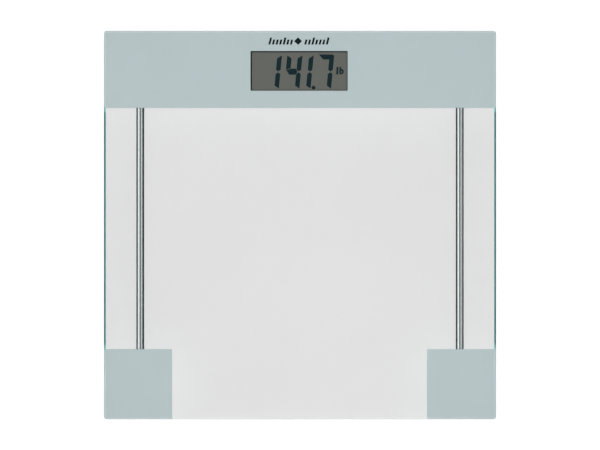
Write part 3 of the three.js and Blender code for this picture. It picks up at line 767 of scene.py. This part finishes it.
def characters():
    """The reading: 141.7, with a small lb beside it."""
    bars = []
    for x in (-16.95, 7.63, -1.03):  # the two ones, and the four's right side
        bars += [upright(x, True), upright(x, False)]
    left, right = -11.05, -7.5  # the four's left side
    bars.append([(left, TOP_Y), (left, 120.2), (right, 121.4), (right, TOP_Y - CUT)])
    bars.append(  # its crossbar
        [
            (-10.9, 119.95),
            (-8.0, 116.4),
            (-3.1, 116.4),
            (-3.05, 117.0),
            (-1.8, 118.6),
            (-3.05, 120.2),
            (-3.1, 121.0),
            (-7.4, 121.1),
        ]
    )
    seven, top, underside, corner_cut = 23.5, 132.1, 128.2, 1.1
    bars.append(
        [
            (13.5, top),
            (16.9, underside),
            (seven - STEM, underside),
            (seven - STEM, MIDDLE_Y + SHOULDER),
            (seven, MIDDLE_Y + TIP),
            (seven + STEM, MIDDLE_Y + SHOULDER),
            (seven + STEM, top - corner_cut),
            (seven + STEM - corner_cut, top),
        ]
    )
    bars.append(upright(seven, False))
    shapes = [lean(bar) for bar in bars]
    shapes.append(arc(10.5, 106.4, 1.45, 0, 345, 23))  # the point
    foot, head = 116.7, 122.4  # the unit's two stems, and then its bowl
    shapes.append([(28.05, foot), (29.6, foot), (29.85, head), (28.3, head)])
    shapes.append([(30.4, foot), (31.72, foot), (31.95, head), (30.6, head)])
    bowl = (31.85, 118.75)
    shapes.append(arc(*bowl, 2.05, -90, 90, 16) + arc(*bowl, 0.8, 90, -90, 12))
    low, high = PANEL_TOP + 0.01 * MM, PANEL_TOP + 0.09 * MM
    plates("display_characters", shapes, low, high, CRYSTAL)


def header_motif():
    """A plain row of slanted bars with a lozenge in the middle, above the display."""
    centre_x, base_y, pitch, width = -1.5, 139.7, 2.78, 1.6
    long_bar, short_bar = 5.4, 3.8
    tilt = math.tan(math.radians(14))
    shapes = []
    for i in range(-8, 9):
        if abs(i) < 2:
            continue
        height = long_bar if i % 4 == 0 else short_bar
        left = centre_x + i * pitch - width / 2
        corners = [(0, 0), (width, 0), (width + height * tilt, height), (height * tilt, height)]
        shapes.append([(left + dx, base_y + dy) for dx, dy in corners])
    lozenge_y = base_y + 2.6
    lozenge = ((0, -2.9), (3.1, 0), (0, 2.9), (-3.1, 0))
    shapes.append([(centre_x + dx, lozenge_y + dy) for dx, dy in lozenge])
    low, high = BAND_HIGH.z + 0.02 * MM, BAND_HIGH.z + 0.07 * MM
    plates("header_motif", shapes, low, high, DARK_INK)


# ---------------------------------------------------------------- turned parts
# Profiles are (radius, height) points in mm.
FOOT_PROFILE = [
    (0, 1.75),
    (13.2, 1.75),
    (13.2, 1.55),
    (14.2, 1.55),
    (15.0, 2.4),
    (15.0, 5.5),
    (17.0, 5.5),
    (17.0, 7.0),
    (5.0, 7.0),
    (4.0, 7.8),
    (4.0, 9.05),
    (0, 9.05),
]
PAD_PROFILE = [
    (0, 0.25),
    (3.2, 0.25),
    (3.6, 0),
    (7.4, 0),
    (8.0, 0.6),
    (9.0, 0.6),
    (9.6, 0),
    (12.4, 0),
    (13.0, 0.5),
    (13.0, 1.5),
    (0, 1.5),
]


def feet():
    """Each foot with its rubber pad."""
    for corner in CORNERS:
        body = "foot_assembly_" + corner
        turned("foot_" + corner, FOOT_PROFILE, 0.35, body, "foot_plastic")
        turned("foot_pad_" + corner, PAD_PROFILE, 0.25, body, "rubber")


def coin_cell():
    """The cell, with its can folded in round the cap."""
    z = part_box("battery")[0].z / MM
    profile = [(0, z), (9.4, z), (10, z + 0.5), (10, z + 2.5), (9.5, z + 2.95), (9.0, z + 2.95)]
    profile += [(8.8, z + 2.8), (8.6, z + 3.2), (0, z + 3.2)]
    turned("battery", profile, 0.3, "platform", "cell_can")


def unit_button():
    """The button underneath, with a shallow dish for the finger and a flange that keeps it in."""
    profile = [(0, 3.75), (1.6, 3.65), (2.6, 3.4), (3.3, 3.4), (3.6, 3.7)]
    profile += [(3.6, 5.3), (5.2, 5.3), (5.2, 5.7), (0, 5.7)]
    turned("unit_button", profile, 0.2, "unit_button", "foot_plastic", sides=64)


# ---------------------------------------------------------------- the object
for name, node in frame["nodes"].items():
    slot = SLOTS[name]
    if slot in MATERIALS:
        node.material_slots[0].link = "OBJECT"
        node.material_slots[0].material = MATERIALS[slot]

glass_slab()
for side in SIDES:
    smooth_tube(side)
    for wire in ("front_sensor_wire_", "rear_sensor_wire_"):
        smooth_wire(wire + side)
    for moulding in ("pod_housing_", "pod_cover_"):
        refined(moulding + side, 0.3 * MM)
for moulding in ("display_housing", "display_cover", "lcd_frame", "battery_cover"):
    refined(moulding, 0.25 * MM)
for corner in CORNERS:
    refined("load_cell_" + corner, 0.12 * MM)
characters()
header_motif()
feet()
coin_cell()
unit_button()


# ---------------------------------------------------------------- the stage
def floor():
    """A pale paper floor. It goes over into an even white further out, as a lit backdrop does.
    Reflections show both in painted shade.
    """
    paper_ends, white_starts, reach = 0.4, 1.0, 9.0
    # Painted shade: reflections show the floor and its backdrop this dark, though both are lit.
    in_mirror = (0.03, 0.035, 0.035)  # the floor as reflections show it, out of the light
    m = material_nodes("floor")
    _, mirrored = m.light_path()
    paper = m.varied((0.9, 0.9, 0.9), 0.004, m.noise(0.4, 2))
    near = m.principled(
        Base_Color=m.mix(mirrored, paper, in_mirror), Roughness=0.9, Specular_IOR_Level=0.0
    )
    lit = m.node("ShaderNodeEmission")
    m.plug(lit.inputs["Color"], m.mix(mirrored, (1.0, 1.0, 1.0), in_mirror))
    away = m.node("ShaderNodeVectorMath", operation="LENGTH")
    m.plug(away.inputs[0], m.position)
    backdrop = m.between(away.outputs["Value"], paper_ends, white_starts)
    mesh = bpy.data.meshes.new("floor")
    corners = [(-reach, -reach, 0), (reach, -reach, 0), (reach, reach, 0), (-reach, reach, 0)]
    mesh.from_pydata(corners, [], [(0, 1, 2, 3)])
    mesh.materials.append(m.finish(m.mix_shaders(backdrop, near, lit.outputs[0])))
    added("floor", mesh)


def key_light():
    """A soft box straight overhead, so that shadows fall under the object."""
    data = bpy.data.lights.new("key", "AREA")
    data.shape = "DISK"
    data.size = 0.16
    height = 2.8
    level = 1.15  # radiance of a white floor under this light alone
    data.energy = level * math.pi ** 2 * height ** 2
    made = added("key", data)
    made.location = (0, 0, height)
    made.visible_camera = False
    made.visible_glossy = False
    made.visible_transmission = False


# The studio as reflections show it: degrees off straight up, towards +X, and the brightness there.
# There is a bright strip light to the left, a grey ceiling, and a weaker strip to the right.
STUDIO = [
    (-110, 0.20),
    (-80, 0.35),
    (-66, 0.90),
    (-54, 1.90),
    (-36, 1.90),
    (-25, 0.90),
    (-13, 0.28),
    (8, 0.20),
    (20, 0.36),
    (32, 1.10),
    (52, 1.10),
    (64, 0.30),
    (76, 0.08),
    (110, 0.04),
]


def grey(level):
    return (level, level, level)


def studio():
    """The world: white to the camera, a weak fill on matt surfaces, and STUDIO in mirrors."""
    fill, end_wall, dark_top, pale_low = 0.10, 0.85, 0.08, 0.62
    world = bpy.data.worlds.new("studio")
    bpy.context.scene.world = world
    m = Nodes(world, "ShaderNodeOutputWorld", "Generated")
    rays, direct = m.light_path()
    x, y, z = m.axes()

    widest = STUDIO[-1][0]
    tilt = m.math("MULTIPLY_ADD", m.math("ARCTAN2", x, z), 0.5 / math.radians(widest), 0.5)
    stops = [
        (0.5 + 0.5 * degrees / widest, (level, level * 1.01, level)) for degrees, level in STUDIO
    ]
    seen = m.mix(m.math("MULTIPLY", y, y), m.ramp(tilt, stops), grey(end_wall))
    # A reflection straight off the glass shows a dark top, as a camera over it would be.
    overhead = m.math("MULTIPLY", direct, m.between(z, 0.85, 0.97))
    seen = m.mix(overhead, seen, grey(dark_top))
    # Low down it is pale there too, so the glass doesn't go dark when it is seen from the side.
    low_down = m.math("MULTIPLY", direct, m.between(z, 0.35, 0.10))
    seen = m.mix(low_down, seen, grey(pale_low))

    sharp = m.math("MAXIMUM", rays["Is Glossy Ray"], rays["Is Transmission Ray"])
    in_mirror = m.math("MULTIPLY", sharp, m.math("LESS_THAN", rays["Diffuse Depth"], 0.5))
    seen = m.mix(in_mirror, grey(fill), seen)
    background = m.node("ShaderNodeBackground")
    m.plug(background.inputs["Color"], m.mix(rays["Is Camera Ray"], seen, grey(1.0)))
    m.finish(background.outputs[0])


def camera():
    """Straight above, far enough off that the picture is nearly free of perspective."""
    distance, seen_width = 3.0, 0.4638
    data = bpy.data.cameras.new("camera")
    data.sensor_width = 36.0
    data.lens = data.sensor_width * distance / seen_width
    data.clip_end = 50
    made = added("camera", data)
    made.location = (0, 0, GLASS_HIGH.z + distance)
    bpy.context.scene.camera = made


floor()
key_light()
studio()
camera()
bpy.context.scene.view_settings.view_transform = "Standard"
